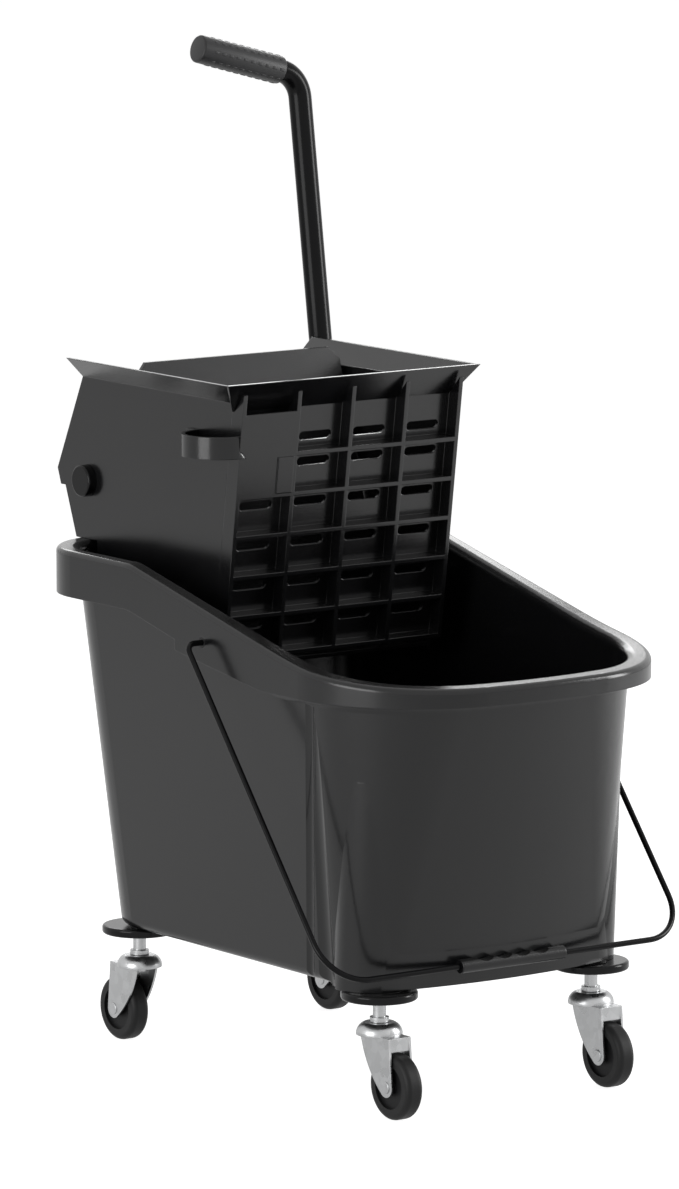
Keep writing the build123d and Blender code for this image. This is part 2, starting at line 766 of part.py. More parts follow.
def make_hopper():
    """Fixed pieces of the wringer."""
    made = {}
    front_grid = make_front_grid()
    right = make_side_panel(front_grid)
    left = right.mirror(Plane.YZ)
    made["front_grid"] = front_grid
    made["side_panel_right"] = right
    made["side_panel_left"] = left

    floor_front = grid_point(grid_back, -grid_length)[0]
    floor_low = hopper_floor_top - hopper_floor_thickness
    floor = block((-panel_inner, floor_front, floor_low), (panel_inner, panel_bottom_rear, hopper_floor_top))
    pitch = 2 * panel_inner / floor_slots
    slot_run = panel_bottom_rear - floor_front - 2 * floor_slot_width
    for i in range(floor_slots):
        x = -panel_inner + (i + 0.5) * pitch
        slot = extrude(SlotOverall(slot_run, floor_slot_width, rotation=90), 3 * hopper_floor_thickness, both=True)
        floor -= Pos(x, (floor_front + panel_bottom_rear) / 2, floor_low) * slot
    made["hopper_floor"] = floor - front_grid

    skin = cover_inset + cover_thickness
    cover_points = [
        (panel_rear - cover_inset, fold_height),
        (bulge_rear - cover_inset, bulge_height),
        (bulge_foot - cover_inset, bulge_foot_height),
        (bulge_foot - skin, bulge_foot_height),
        (bulge_rear - skin - cover_inset, bulge_height),
        (panel_rear - skin, fold_height),
    ]
    made["rear_cover"] = side_solid(cover_points, -panel_inner, panel_inner)

    made["tie_bar"] = rod((-hopper_half_width, tie_y, tie_z), (hopper_half_width, tie_y, tie_z), tie_diameter)
    for side, name in ((-1, "left"), (1, "right")):
        face = side * hopper_half_width
        head = rod((face, tie_y, tie_z), (face + side * tie_head_height, tie_y, tie_z), tie_head_diameter)
        outer_edge = head.edges().sort_by(Axis.X)[-1 if side > 0 else 0]
        made["tie_head_" + name] = fillet(outer_edge, tie_head_height / 2)

        inner = side * panel_inner
        bush = rod((inner, pivot_y, pivot_z), (face, pivot_y, pivot_z), bush_diameter)
        flange_end = inner - side * bush_flange
        bush += rod((flange_end, pivot_y, pivot_z), (inner, pivot_y, pivot_z), bush_flange_diameter)
        bush -= rod((flange_end, pivot_y, pivot_z), (face, pivot_y, pivot_z), shaft_diameter + 2 * running_gap)
        made["shaft_bush_" + name] = bush

    made["spring_bar"] = rod((-panel_inner, spring_bar_y, spring_z), (panel_inner, spring_bar_y, spring_z),
                             spring_bar_diameter)

    # The loop runs round from the left panel to the pad on the front grid
    outer = Cylinder(loop_radius, loop_height) - Cylinder(loop_radius - loop_thickness, loop_height)
    loop = Pos(-hopper_half_width, loop_centre_y, loop_low + loop_height / 2) * outer
    pad_front = grid_point(0, loop_low - fold_height)[0]
    tab = block((-hopper_half_width - loop_thickness, loop_centre_y + loop_radius - loop_thickness, loop_low),
                (-hopper_half_width, loop_centre_y + loop_radius + loop_tab, loop_low + loop_height))
    inboard = block((-hopper_half_width, pad_front, 0), (hopper_half_width, panel_rear, plate_top))
    made["mop_loop"] = (loop + tab) - inboard - front_grid - left
    return made


pitch_radius = gear_module * pinion_teeth / 2
rack_line = pivot_z - pitch_radius
tooth_pitch = math.pi * gear_module


def pinion_outline():
    """Involute pinion about its own centre, with a tooth gap straight below the centre."""
    base_radius = pitch_radius * math.cos(math.radians(pressure_angle))
    flat = math.tan(math.radians(pressure_angle)) - math.radians(pressure_angle)
    half_tooth = (tooth_pitch / 2 - mesh_gap / 2) / pitch_radius / 2
    flank = []
    flank_steps = 4
    for i in range(flank_steps + 1):
        radius = base_radius + (pitch_radius + tooth_height - base_radius) * i / flank_steps
        roll = math.acos(base_radius / radius)
        flank.append((radius, half_tooth + flat - math.tan(roll) + roll))
    root = pitch_radius - tooth_root
    flank.insert(0, (root, flank[0][1]))
    points = []
    for tooth in range(pinion_teeth):
        middle = -math.pi / 2 + (tooth + 0.5) * 2 * math.pi / pinion_teeth
        sides = [(radius, middle - turn) for radius, turn in flank]
        sides += [(radius, middle + turn) for radius, turn in reversed(flank)]
        points += [(radius * math.cos(turn), radius * math.sin(turn)) for radius, turn in sides]
    return points


def plate_front(z):
    """Y of the press plate's front face at a height."""
    return plate_top_y - (plate_top - z) * math.tan(math.radians(plate_lean))


plate_run = plate_thickness / math.cos(math.radians(plate_lean))
plate_bottom = hopper_floor_top + plate_floor_gap


def make_press():
    """Press plate with a ribbed back and its two racks."""
    made = {}

    def slab(front, depth, low_z, high_z, low_x, high_x):
        points = [
            (plate_front(low_z) + front, low_z),
            (plate_front(low_z) + front + depth, low_z),
            (plate_front(high_z) + front + depth, high_z),
            (plate_front(high_z) + front, high_z),
        ]
        return side_solid(points, low_x, high_x)

    plate = slab(0, plate_run, plate_bottom, plate_top, -plate_half_width, plate_half_width)
    corners = plate.edges().filter_by(Axis.Y, tolerance=1).group_by(Axis.Z)[-1]
    plate = chamfer(corners, plate_corner)
    rib_top = plate_top - plate_corner - plate_rib_thickness
    span = 2 * plate_half_width - plate_rib_thickness
    for i in range(plate_ribs):
        x = -plate_half_width + i * span / (plate_ribs - 1)
        plate += slab(plate_run, plate_rib, plate_bottom, rib_top, x, x + plate_rib_thickness)
    for i in range(plate_cross_ribs):
        z = plate_bottom + i * (rib_top - plate_bottom - plate_rib_thickness) / (plate_cross_ribs - 1)
        plate += slab(plate_run, plate_rib, z, z + plate_rib_thickness, -plate_half_width, plate_half_width)
    rack_low = rack_line - tooth_root - rack_base
    pad_half = rack_width / 2
    for side in (-1, 1):
        x = side * pinion_offset
        plate += slab(plate_run, plate_rib, rack_low, rack_line, x - pad_half, x + pad_half)
        lug_x = side * spring_offset
        plate += slab(plate_run, spring_lug_reach, spring_z - spring_lug / 2, spring_z + spring_lug / 2,
                      lug_x - spring_lug / 2, lug_x + spring_lug / 2)
    made["press_plate"] = plate

    slope = math.tan(math.radians(pressure_angle))
    tooth_half = (tooth_pitch / 2 - mesh_gap / 2) / 2
    root = rack_line - tooth_root
    tip = rack_line + tooth_height
    tail = pivot_y + rack_rear_teeth * tooth_pitch + tooth_pitch / 2
    back = plate_run + plate_rib
    points = [(plate_front(rack_low) + back, rack_low), (tail, rack_low), (tail, root)]
    for i in range(rack_rear_teeth, -rack_front_teeth - 1, -1):
        middle = pivot_y + i * tooth_pitch
        points += [
            (middle + tooth_half + tooth_root * slope, root),
            (middle + tooth_half - tooth_height * slope, tip),
            (middle - tooth_half + tooth_height * slope, tip),
            (middle - tooth_half - tooth_root * slope, root),
        ]
    points.append((plate_front(root) + back, root))
    for side, name in ((-1, "left"), (1, "right")):
        x = side * pinion_offset
        made["rack_" + name] = side_solid(points, x - rack_width / 2, x + rack_width / 2)
    return made


def make_lever():
    """Pivot shaft, pinions, cap, hub and the bent lever with its grip."""
    made = {}
    cap_face = -hopper_half_width - cap_gap
    hub_start = hopper_half_width + hub_panel_gap
    hub_middle = lever_offset
    hub_end = hub_middle + hub_length / 2
    shaft_end = hub_end
    centre = (pivot_y, pivot_z)
    made["pivot_shaft"] = rod((cap_face, *centre), (shaft_end, *centre), shaft_diameter)
    cap = rod((cap_face, *centre), (cap_face - cap_height, *centre), cap_diameter)
    made["pivot_cap"] = fillet(cap.edges().sort_by(Axis.X)[0], cap_round)
    nut = rod((hub_end, *centre), (hub_end + hub_nut_height, *centre), hub_nut_diameter)
    made["hub_nut"] = fillet(nut.edges().sort_by(Axis.X)[-1], cap_round)

    face = make_face(Polyline(*pinion_outline(), close=True))
    gear = extrude(face, pinion_width) - extrude(Circle(shaft_diameter / 2), pinion_width)
    for side, name in ((-1, "left"), (1, "right")):
        start = side * pinion_offset - pinion_width / 2
        made["pinion_" + name] = Plane(origin=(start, *centre), x_dir=(0, 1, 0), z_dir=(1, 0, 0)) * gear

    tilt = math.radians(lever_lean)
    up = Vector(0, math.sin(tilt), math.cos(tilt))
    foot = Vector(lever_offset, *centre)
    corner = foot + up * ((lever_corner_height - pivot_z) / math.cos(tilt))
    grip_tilt = math.radians(lever_grip_tilt)
    along = Vector(-math.cos(grip_tilt), 0, 0) + up * math.sin(grip_tilt)
    bend_run = lever_bend * math.tan((math.pi / 2 - grip_tilt) / 2)
    grip_start = corner + along * bend_run
    grip_end = grip_start + along * lever_grip_length
    tube_end = grip_end - along * lever_grip_end
    path = FilletPolyline(foot + up * hub_tube_start, corner, tube_end, radius=lever_bend)
    ring = Circle(lever_tube / 2) - Circle(lever_tube / 2 - lever_wall)
    tube = sweep(Plane(origin=path @ 0, z_dir=path % 0) * ring, path)

    hub = rod((hub_start, *centre), (hub_end, *centre), hub_outer)
    hub += rod(tuple(foot), tuple(foot + up * hub_sleeve_length), hub_sleeve)
    hub -= rod((hub_start, *centre), (hub_end, *centre), shaft_diameter)
    hub -= rod(tuple(foot + up * hub_tube_start), tuple(foot + up * hub_sleeve_length), lever_tube)

    bolt_at = foot + up * hub_bolt_height
    half = hub_sleeve / 2
    across = Vector(1, 0, 0)
    bolt_hole = rod(tuple(bolt_at - across * half), tuple(bolt_at + across * half), hub_bolt_diameter)
    bolt = bolt_hole
    for side in (-1, 1):
        start = bolt_at + across * side * half
        head = rod(tuple(start - across * side), tuple(start + across * side * hub_bolt_head_height), hub_bolt_head)
        bolt += head
    made["lever_hub"] = hub - bolt
    made["lever_tube"] = tube - bolt
    made["hub_bolt"] = bolt

    grip = rod(tuple(grip_start), tuple(grip_end), lever_grip_diameter)
    grip = fillet(grip.edges().filter_by(GeomType.CIRCLE), cap_round)
    made["lever_grip"] = grip - rod(tuple(grip_start), tuple(tube_end), lever_tube)
    return made


def biarc(start, start_way, end, end_way):
    """Two tangent arcs from one point and direction to another."""
    gap = end - start
    ways = start_way + end_way
    dot = gap.dot(ways)
    spread = 2 * (1 - start_way.dot(end_way))
    arm = (-dot + math.sqrt(dot**2 + spread * gap.dot(gap))) / spread
    first = start + start_way * arm
    last = end - end_way * arm
    middle = (first + last) * 0.5
    way = (last - first).normalized()
    return [Edge.make_tangent_arc(start, start_way, middle), Edge.make_tangent_arc(middle, way, end)]


def make_spring(x):
    """Extension spring along Y: straight ends, and turns of one unbroken wire between them."""
    lug_face = plate_front(spring_z + spring_lug / 2) + plate_run + spring_lug_reach + spring_end_gap
    bar_face = spring_bar_y - spring_bar_diameter / 2 - spring_end_gap
    coil = spring_turns * spring_pitch
    coil_start = (lug_face + bar_face - coil) / 2
    slope = spring_pitch / (2 * math.pi * spring_radius)

    def on_coil(turns):
        angle = 2 * math.pi * turns
        return Vector(x + spring_radius * math.sin(angle), coil_start + spring_pitch * turns,
                      spring_z + spring_radius * math.cos(angle))

    def coil_way(turns):
        angle = 2 * math.pi * turns
        return Vector(math.cos(angle), slope, -math.sin(angle)).normalized()

    ahead = Vector(0, 1, 0)
    first = on_coil(0) - coil_way(0) * spring_bend - ahead * spring_bend
    last = on_coil(spring_turns) + coil_way(spring_turns) * spring_bend + ahead * spring_bend
    edges = [Edge.make_line(Vector(first.X, lug_face, first.Z), first)]
    edges += biarc(first, ahead, on_coil(0), coil_way(0))
    quarters = 4
    for i in range(spring_turns * quarters):
        edges += biarc(on_coil(i / quarters), coil_way(i / quarters),
                       on_coil((i + 1) / quarters), coil_way((i + 1) / quarters))
    edges += biarc(on_coil(spring_turns), coil_way(spring_turns), last, ahead)
    edges.append(Edge.make_line(last, Vector(last.X, bar_face, last.Z)))
    path = Wire(edges)
    section = Plane(origin=edges[0] @ 0, z_dir=ahead) * Circle(spring_wire / 2)
    turn_gap = min(
        (on_coil(1 + i / 40) - on_coil(j / 40)).length for i in range(41) for j in range(41)
        if abs(40 + i - j) > 20
    )
    print("spring gap between turns", round(turn_gap - spring_wire, 3))
    return sweep(section, path)


nodes["bucket_shell"] = make_bucket_shell()
nodes.update(make_casters())
nodes.update(make_bail())
nodes.update(make_hopper())
nodes.update(make_press())
nodes.update(make_lever())
nodes["return_spring_left"] = make_spring(-spring_offset)
nodes["return_spring_right"] = make_spring(spring_offset)

# The origin is on the floor, at the middle of the whole part's length
lowest_y = min(shape.bounding_box().min.Y for shape in nodes.values())
highest_y = max(shape.bounding_box().max.Y for shape in nodes.values())
middle_y = (lowest_y + highest_y) / 2
print("origin moved to y", round(middle_y, 3))

os.makedirs("parts", exist_ok=True)
for name, shape in nodes.items():
    export_step(Pos(0, -middle_y, 0) * shape, "parts/" + name + ".step")
print("nodes", len(nodes))
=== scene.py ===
import json
import math

import bpy
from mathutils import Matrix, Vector


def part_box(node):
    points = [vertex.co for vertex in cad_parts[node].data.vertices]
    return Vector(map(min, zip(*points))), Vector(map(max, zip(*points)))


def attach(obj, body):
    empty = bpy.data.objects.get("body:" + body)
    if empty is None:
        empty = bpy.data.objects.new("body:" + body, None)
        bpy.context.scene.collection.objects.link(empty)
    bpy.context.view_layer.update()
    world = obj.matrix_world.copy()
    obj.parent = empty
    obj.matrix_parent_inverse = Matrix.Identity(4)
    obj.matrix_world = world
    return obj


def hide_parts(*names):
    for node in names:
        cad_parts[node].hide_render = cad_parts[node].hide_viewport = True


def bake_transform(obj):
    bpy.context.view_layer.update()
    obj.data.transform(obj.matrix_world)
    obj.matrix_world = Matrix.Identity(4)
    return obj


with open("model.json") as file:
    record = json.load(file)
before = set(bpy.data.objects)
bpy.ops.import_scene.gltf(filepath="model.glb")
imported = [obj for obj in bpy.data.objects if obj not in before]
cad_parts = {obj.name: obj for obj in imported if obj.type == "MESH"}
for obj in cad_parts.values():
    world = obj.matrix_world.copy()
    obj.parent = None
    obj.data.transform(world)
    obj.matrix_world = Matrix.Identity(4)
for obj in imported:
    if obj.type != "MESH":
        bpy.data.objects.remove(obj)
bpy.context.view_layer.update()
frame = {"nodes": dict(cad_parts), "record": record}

bl_info = {
    "name": "Mop Bucket Finishes",
    "version": (1, 0, 0),
    "blender": (4, 5, 0),
    "location": "3D View > Sidebar > Mop Bucket",
    "description": "Finishes and small pieces for a mop bucket with a down-press wringer",
    "category": "Object",
}

SIDES = ("left", "right")

DUST_ON_PLASTIC = (0.30, 0.29, 0.27)
DUST_ON_RUBBER = (0.25, 0.24, 0.23)
DUST_SCALE = 45.0
DUST_DETAIL = 5.0
DUST_LEVEL = 0.4
DUST_GAIN = 1.6
GRAIN_DETAIL = 3.0
TONE_DETAIL = 4.0
EDGE_GAIN = 3.0
EDGE_SAMPLES = 6
LINE_SCALE = (900.0, 900.0, 60.0)
BLOTCH_SCALE = 160.0

SLEEVE_SIDES = 56
SLEEVE_ROUND_STEPS = 4
STUD_ROUND_STEPS = 2
STUD_TOP_SHARE = (1.0, 0.7, 0.8)
WIRE_SIDES = 10
TURN_STEPS = 18
BEND_STEPS = 6
SMALL = 0.0001
TINY = 0.00001

FLOOR_SPAN = 60.0
FLOOR_ROUGHNESS = 0.9
SENSOR_HEIGHT = 24.0
SIGHT = 100.0
LAMP_TARGET = (0.0, 0.0, 0.42)
KEY_PLACE = (-3.2, -0.5, 0.9)
KEY_SIZE = (2.0, 1.6)
TOP_PLACE = (1.2, 2.2, 1.6)
TOP_SIZE = (1.6, 0.6)
SIDE_PLACE = (2.6, -1.6, 1.2)
SIDE_SIZE = (1.0, 1.6)


class MopBucketFinishes(bpy.types.PropertyGroup):
    """Colours and gloss of the mouldings, rubber and metal."""

    shell_colour: bpy.props.FloatVectorProperty(
        name="Bucket colour", description="Moulded black of the bucket", subtype="COLOR", size=3,
        default=(0.0062, 0.0063, 0.0068))
    wringer_colour: bpy.props.FloatVectorProperty(
        name="Wringer colour", description="Moulded black of the wringer's panels", subtype="COLOR", size=3,
        default=(0.0070, 0.0071, 0.0076))
    press_colour: bpy.props.FloatVectorProperty(
        name="Press plate colour", description="Moulded black of the press plate", subtype="COLOR", size=3,
        default=(0.0090, 0.0092, 0.0098))
    disc_colour: bpy.props.FloatVectorProperty(
        name="Disc colour", description="Glossy black of the bumper discs and caps", subtype="COLOR", size=3,
        default=(0.004, 0.004, 0.0045))
    bush_colour: bpy.props.FloatVectorProperty(
        name="Bush colour", description="Dull black of bushes, gears and wheel hubs", subtype="COLOR", size=3,
        default=(0.0080, 0.0080, 0.0085))
    tyre_colour: bpy.props.FloatVectorProperty(
        name="Tyre colour", description="Rubber of the caster tyres", subtype="COLOR", size=3,
        default=(0.0110, 0.0110, 0.0113))
    grip_colour: bpy.props.FloatVectorProperty(
        name="Grip colour", description="Rubber of the lever grip", subtype="COLOR", size=3,
        default=(0.0220, 0.0220, 0.0230))
    paint_colour: bpy.props.FloatVectorProperty(
        name="Paint colour", description="Black coating of the lever and the bail wire", subtype="COLOR", size=3,
        default=(0.0050, 0.0050, 0.0055))
    zinc_colour: bpy.props.FloatVectorProperty(
        name="Zinc colour", description="Bright zinc of the casters", subtype="COLOR", size=3,
        default=(0.47, 0.475, 0.48))
    spring_colour: bpy.props.FloatVectorProperty(
        name="Spring colour", description="Drawn steel of the return springs", subtype="COLOR", size=3,
        default=(0.45, 0.45, 0.46))


class MopBucketPieces(bpy.types.PropertyGroup):
    """Sizes of the rubber lever grip and the return springs."""

    grip_length: bpy.props.FloatProperty(
        name="Grip length", description="Length of the rubber grip", unit="LENGTH", default=0.096)
    grip_diameter: bpy.props.FloatProperty(
        name="Grip diameter", description="Across the sleeve, without its studs", unit="LENGTH", default=0.0268)
    grip_plain_end: bpy.props.FloatProperty(
        name="Plain end", description="Length without studs at the free end", unit="LENGTH", default=0.008)
    grip_round: bpy.props.FloatProperty(
        name="Grip rounding", description="Rounding of the grip's two ends", unit="LENGTH", default=0.0022)
    stud_rows: bpy.props.IntProperty(
        name="Stud rows", description="Rows of studs around the grip", default=8, min=3)
    stud_count: bpy.props.IntProperty(
        name="Studs in a row", description="Studs along the grip", default=10, min=1)
    stud_pitch: bpy.props.FloatProperty(
        name="Stud pitch", description="From one stud to the next", unit="LENGTH", default=0.0084)
    stud_length: bpy.props.FloatProperty(
        name="Stud length", description="Length of a stud along the grip", unit="LENGTH", default=0.0054)
    stud_width: bpy.props.FloatProperty(
        name="Stud width", description="Width of a stud across the grip", unit="LENGTH", default=0.0030)
    stud_rise: bpy.props.FloatProperty(
        name="Stud rise", description="Height of a stud over the sleeve", unit="LENGTH", default=0.0004)
    spring_wire: bpy.props.FloatProperty(
        name="Spring wire", description="Diameter of the springs' wire", unit="LENGTH", default=0.0016)
    spring_turns: bpy.props.IntProperty(
        name="Spring turns", description="Turns in each return spring", default=22, min=2)
    spring_pitch: bpy.props.FloatProperty(
        name="Spring pitch", description="From one turn to the next", unit="LENGTH", default=0.0022)
    spring_bend: bpy.props.FloatProperty(
        name="Spring end bend", description="Bend between the coil and its straight ends", unit="LENGTH",
        default=0.0024)


class MopBucketStage(bpy.types.PropertyGroup):
    """Camera, floor and lamps."""

    eye: bpy.props.FloatVectorProperty(
        name="Camera place", description="Where the camera stands", subtype="TRANSLATION", size=3,
        default=(-4.2364, -5.8960, 1.5390))
    aim: bpy.props.FloatVectorProperty(
        name="Camera aim", description="The point in the middle of the picture", subtype="TRANSLATION", size=3,
        default=(-0.0145, -0.0100, 0.4359))
    lens: bpy.props.FloatProperty(
        name="Lens", description="Focal length on a 24 mm high sensor", subtype="DISTANCE_CAMERA", default=161.48)
    floor_colour: bpy.props.FloatVectorProperty(
        name="Floor colour", description="Pale floor under the bucket", subtype="COLOR", size=3,
        default=(0.80, 0.80, 0.80))
    world_light: bpy.props.FloatProperty(
        name="World light", description="Level of the light from all round", default=0.16, min=0.0)
    floor_glow: bpy.props.FloatProperty(
        name="Floor white", description="How white the floor looks where no lamp reaches it", default=0.88,
        min=0.0)
    floor_mirrored: bpy.props.FloatProperty(
        name="Floor in reflections", description="How white the floor looks in glossy pieces", default=0.55,
        min=0.0)
    key_power: bpy.props.FloatProperty(
        name="Key lamp", description="Power of the soft lamp at the left", subtype="POWER", default=45.0)
    top_power: bpy.props.FloatProperty(
        name="Top lamp", description="Power of the soft lamp behind, above the rim", subtype="POWER", default=14.0)
    side_power: bpy.props.FloatProperty(
        name="Side lamp", description="Power of the soft lamp at the right", subtype="POWER", default=55.0)


def group_tree(name, inputs, outputs):
    """A new shader node group with float inputs and typed outputs; gives the tree and its two end nodes."""
    tree = bpy.data.node_groups.new(name, "ShaderNodeTree")
    for label, value in inputs:
        socket = tree.interface.new_socket(label, in_out="INPUT", socket_type="NodeSocketFloat")
        socket.default_value = value
    for label, kind in outputs:
        tree.interface.new_socket(label, in_out="OUTPUT", socket_type=kind)
    return tree, tree.nodes.new("NodeGroupInput"), tree.nodes.new("NodeGroupOutput")


def math_node(tree, operation, first, second, clamp=False):
    """A Math node between sockets or plain numbers; gives its output."""
    node = tree.nodes.new("ShaderNodeMath")
    node.operation = operation
    node.use_clamp = clamp
    for index, value in enumerate((first, second)):
        if isinstance(value, (int, float)):
            node.inputs[index].default_value = value
        else:
            tree.links.new(value, node.inputs[index])
    return node.outputs[0]


def grain_group():
    """Fine moulded grain and slow changes of tone, on object coordinates."""
    tree, start, end = group_tree(
        "moulded_grain",
        (("Grain Scale", 900.0), ("Tone Scale", 9.0), ("Roughness", 0.45), ("Roughness Spread", 0.08)),
        (("Height", "NodeSocketFloat"), ("Tone", "NodeSocketFloat"), ("Roughness", "NodeSocketFloat")))
    place = tree.nodes.new("ShaderNodeTexCoord")
    fine = tree.nodes.new("ShaderNodeTexNoise")
    fine.inputs["Detail"].default_value = GRAIN_DETAIL
    slow = tree.nodes.new("ShaderNodeTexNoise")
    slow.inputs["Detail"].default_value = TONE_DETAIL
    tree.links.new(place.outputs["Object"], fine.inputs["Vector"])
    tree.links.new(place.outputs["Object"], slow.inputs["Vector"])
    tree.links.new(start.outputs["Grain Scale"], fine.inputs["Scale"])
    tree.links.new(start.outputs["Tone Scale"], slow.inputs["Scale"])
    tree.links.new(fine.outputs["Fac"], end.inputs["Height"])
    tree.links.new(slow.outputs["Fac"], end.inputs["Tone"])
    swing = math_node(tree, "SUBTRACT", slow.outputs["Fac"], 0.5)
    swing = math_node(tree, "MULTIPLY", swing, start.outputs["Roughness Spread"])
    rough = math_node(tree, "ADD", swing, start.outputs["Roughness"], clamp=True)
    tree.links.new(rough, end.inputs["Roughness"])
    return tree


def edge_group():
    """Rounded normals along sharp edges, and a mask of those edges that places the painted edge highlight."""
    tree, start, end = group_tree(
        "soft_edges", (("Radius", 0.0012),), (("Normal", "NodeSocketVector"), ("Edge", "NodeSocketFloat")))
    bevel = tree.nodes.new("ShaderNodeBevel")
    bevel.samples = EDGE_SAMPLES
    shape = tree.nodes.new("ShaderNodeNewGeometry")
    dot = tree.nodes.new("ShaderNodeVectorMath")
    dot.operation = "DOT_PRODUCT"
    tree.links.new(start.outputs["Radius"], bevel.inputs["Radius"])
    tree.links.new(bevel.outputs["Normal"], dot.inputs[0])
    tree.links.new(shape.outputs["Normal"], dot.inputs[1])
    away = math_node(tree, "SUBTRACT", 1.0, dot.outputs["Value"])
    edge = math_node(tree, "MULTIPLY", away, EDGE_GAIN, clamp=True)
    tree.links.new(bevel.outputs["Normal"], end.inputs["Normal"])
    tree.links.new(edge, end.inputs["Edge"])
    return tree


def dust_group():
    """A faint film on surfaces that face up, broken by noise."""
    tree, start, end = group_tree("settled_dust", (("Amount", 0.2),), (("Mask", "NodeSocketFloat"),))
    shape = tree.nodes.new("ShaderNodeNewGeometry")
    place = tree.nodes.new("ShaderNodeTexCoord")
    split = tree.nodes.new("ShaderNodeSeparateXYZ")
    cloud = tree.nodes.new("ShaderNodeTexNoise")
    cloud.inputs["Scale"].default_value = DUST_SCALE
    cloud.inputs["Detail"].default_value = DUST_DETAIL
    tree.links.new(shape.outputs["Normal"], split.inputs[0])
    tree.links.new(place.outputs["Object"], cloud.inputs["Vector"])
    up = math_node(tree, "SUBTRACT", split.outputs["Z"], DUST_LEVEL, clamp=True)
    up = math_node(tree, "MULTIPLY", up, DUST_GAIN, clamp=True)
    mask = math_node(tree, "MULTIPLY", up, cloud.outputs["Fac"])
    mask = math_node(tree, "MULTIPLY", mask, start.outputs["Amount"])
    tree.links.new(mask, end.inputs["Mask"])
    return tree


def brushed_group():
    """Fine drawn lines along one axis and soft blotches, for plated and drawn metal."""
    tree, start, end = group_tree(
        "drawn_metal", (("Roughness", 0.3), ("Roughness Spread", 0.12)),
        (("Height", "NodeSocketFloat"), ("Tone", "NodeSocketFloat"), ("Roughness", "NodeSocketFloat")))
    place = tree.nodes.new("ShaderNodeTexCoord")
    stretch = tree.nodes.new("ShaderNodeMapping")
    stretch.inputs["Scale"].default_value = LINE_SCALE
    lines = tree.nodes.new("ShaderNodeTexNoise")
    lines.inputs["Scale"].default_value = 1.0
    blotch = tree.nodes.new("ShaderNodeTexVoronoi")
    blotch.inputs["Scale"].default_value = BLOTCH_SCALE
    tree.links.new(place.outputs["Object"], stretch.inputs["Vector"])
    tree.links.new(stretch.outputs["Vector"], lines.inputs["Vector"])
    tree.links.new(place.outputs["Object"], blotch.inputs["Vector"])
    split = tree.nodes.new("ShaderNodeSeparateColor")
    tree.links.new(blotch.outputs["Color"], split.inputs[0])
    tree.links.new(lines.outputs["Fac"], end.inputs["Height"])
    tree.links.new(split.outputs[0], end.inputs["Tone"])
    swing = math_node(tree, "SUBTRACT", split.outputs[0], 0.5)
    swing = math_node(tree, "MULTIPLY", swing, start.outputs["Roughness Spread"])
    rough = math_node(tree, "ADD", swing, start.outputs["Roughness"], clamp=True)
    tree.links.new(rough, end.inputs["Roughness"])
    return tree


def placed_group(tree, name, values):
    """A node group placed in a material, with its values set."""
    node = tree.nodes.new("ShaderNodeGroup")
    node.node_tree = bpy.data.node_groups[name]
    for label, value in values.items():
        node.inputs[label].default_value = value
    return node


def new_material(name):
    """A material with only its Principled shader; gives the material, its tree and the shader."""
    material = bpy.data.materials.new(name + "_finish")
    material.use_nodes = True
    tree = material.node_tree
    shader = tree.nodes["Principled BSDF"]
    return material, tree, shader


def mixed_colour(tree, factor, low, high):
    """A colour between two, by a mask; low and high are colours or sockets."""
    mix = tree.nodes.new("ShaderNodeMix")
    mix.data_type = "RGBA"
    tree.links.new(factor, mix.inputs["Factor"])
    for socket, value in ((mix.inputs[6], low), (mix.inputs[7], high)):
        if isinstance(value, bpy.types.NodeSocket):
            tree.links.new(value, socket)
        else:
            socket.default_value = (*value, 1.0)
    return mix.outputs[2]


def scaled(colour, share):
    """A colour made lighter or darker."""
    return tuple(part * share for part in colour)


def surface_normal(tree, shader, height, distance, edges=None):
    """Bump on the shader, over softened edges where they are given."""
    bump = tree.nodes.new("ShaderNodeBump")
    bump.inputs["Distance"].default_value = distance
    bump.inputs["Strength"].default_value = 1.0
    tree.links.new(height, bump.inputs["Height"])
    if edges is not None:
        tree.links.new(edges, bump.inputs["Normal"])
    tree.links.new(bump.outputs["Normal"], shader.inputs["Normal"])


def plastic(name, colour, roughness, radius, specular=0.5, grain=900.0, depth=0.00004, dust=0.05):
    """Moulded plastic: fine grain, slow tone, softened edges, and a painted highlight that lightens the colour along
    sharp edges.
    """
    material, tree, shader = new_material(name)
    grain_node = placed_group(tree, "moulded_grain", {"Grain Scale": grain, "Roughness": roughness})
    edge_node = placed_group(tree, "soft_edges", {"Radius": radius})
    dust_node = placed_group(tree, "settled_dust", {"Amount": dust})
    base = mixed_colour(tree, grain_node.outputs["Tone"], scaled(colour, 0.85), scaled(colour, 1.15))
    # painted highlight: the colour is lightened along sharp edges to stand in for the light they catch
    painted_edge_highlight = mixed_colour(tree, edge_node.outputs["Edge"], base, scaled(colour, 1.6))
    film = mixed_colour(tree, dust_node.outputs["Mask"], painted_edge_highlight, DUST_ON_PLASTIC)
    tree.links.new(film, shader.inputs["Base Color"])
    tree.links.new(grain_node.outputs["Roughness"], shader.inputs["Roughness"])
    shader.inputs["Specular IOR Level"].default_value = specular
    surface_normal(tree, shader, grain_node.outputs["Height"], depth, edge_node.outputs["Normal"])
    return material


def coating(name, colour, roughness, specular):
    """Black coating on steel: a little orange peel and slightly uneven gloss."""
    material, tree, shader = new_material(name)
    grain_node = placed_group(
        tree, "moulded_grain", {"Grain Scale": 350.0, "Tone Scale": 20.0, "Roughness": roughness,
                                "Roughness Spread": 0.06})
    base = mixed_colour(tree, grain_node.outputs["Tone"], scaled(colour, 0.8), scaled(colour, 1.2))
    tree.links.new(base, shader.inputs["Base Color"])
    tree.links.new(grain_node.outputs["Roughness"], shader.inputs["Roughness"])
    shader.inputs["Specular IOR Level"].default_value = specular
    surface_normal(tree, shader, grain_node.outputs["Height"], 0.00003)
    return material


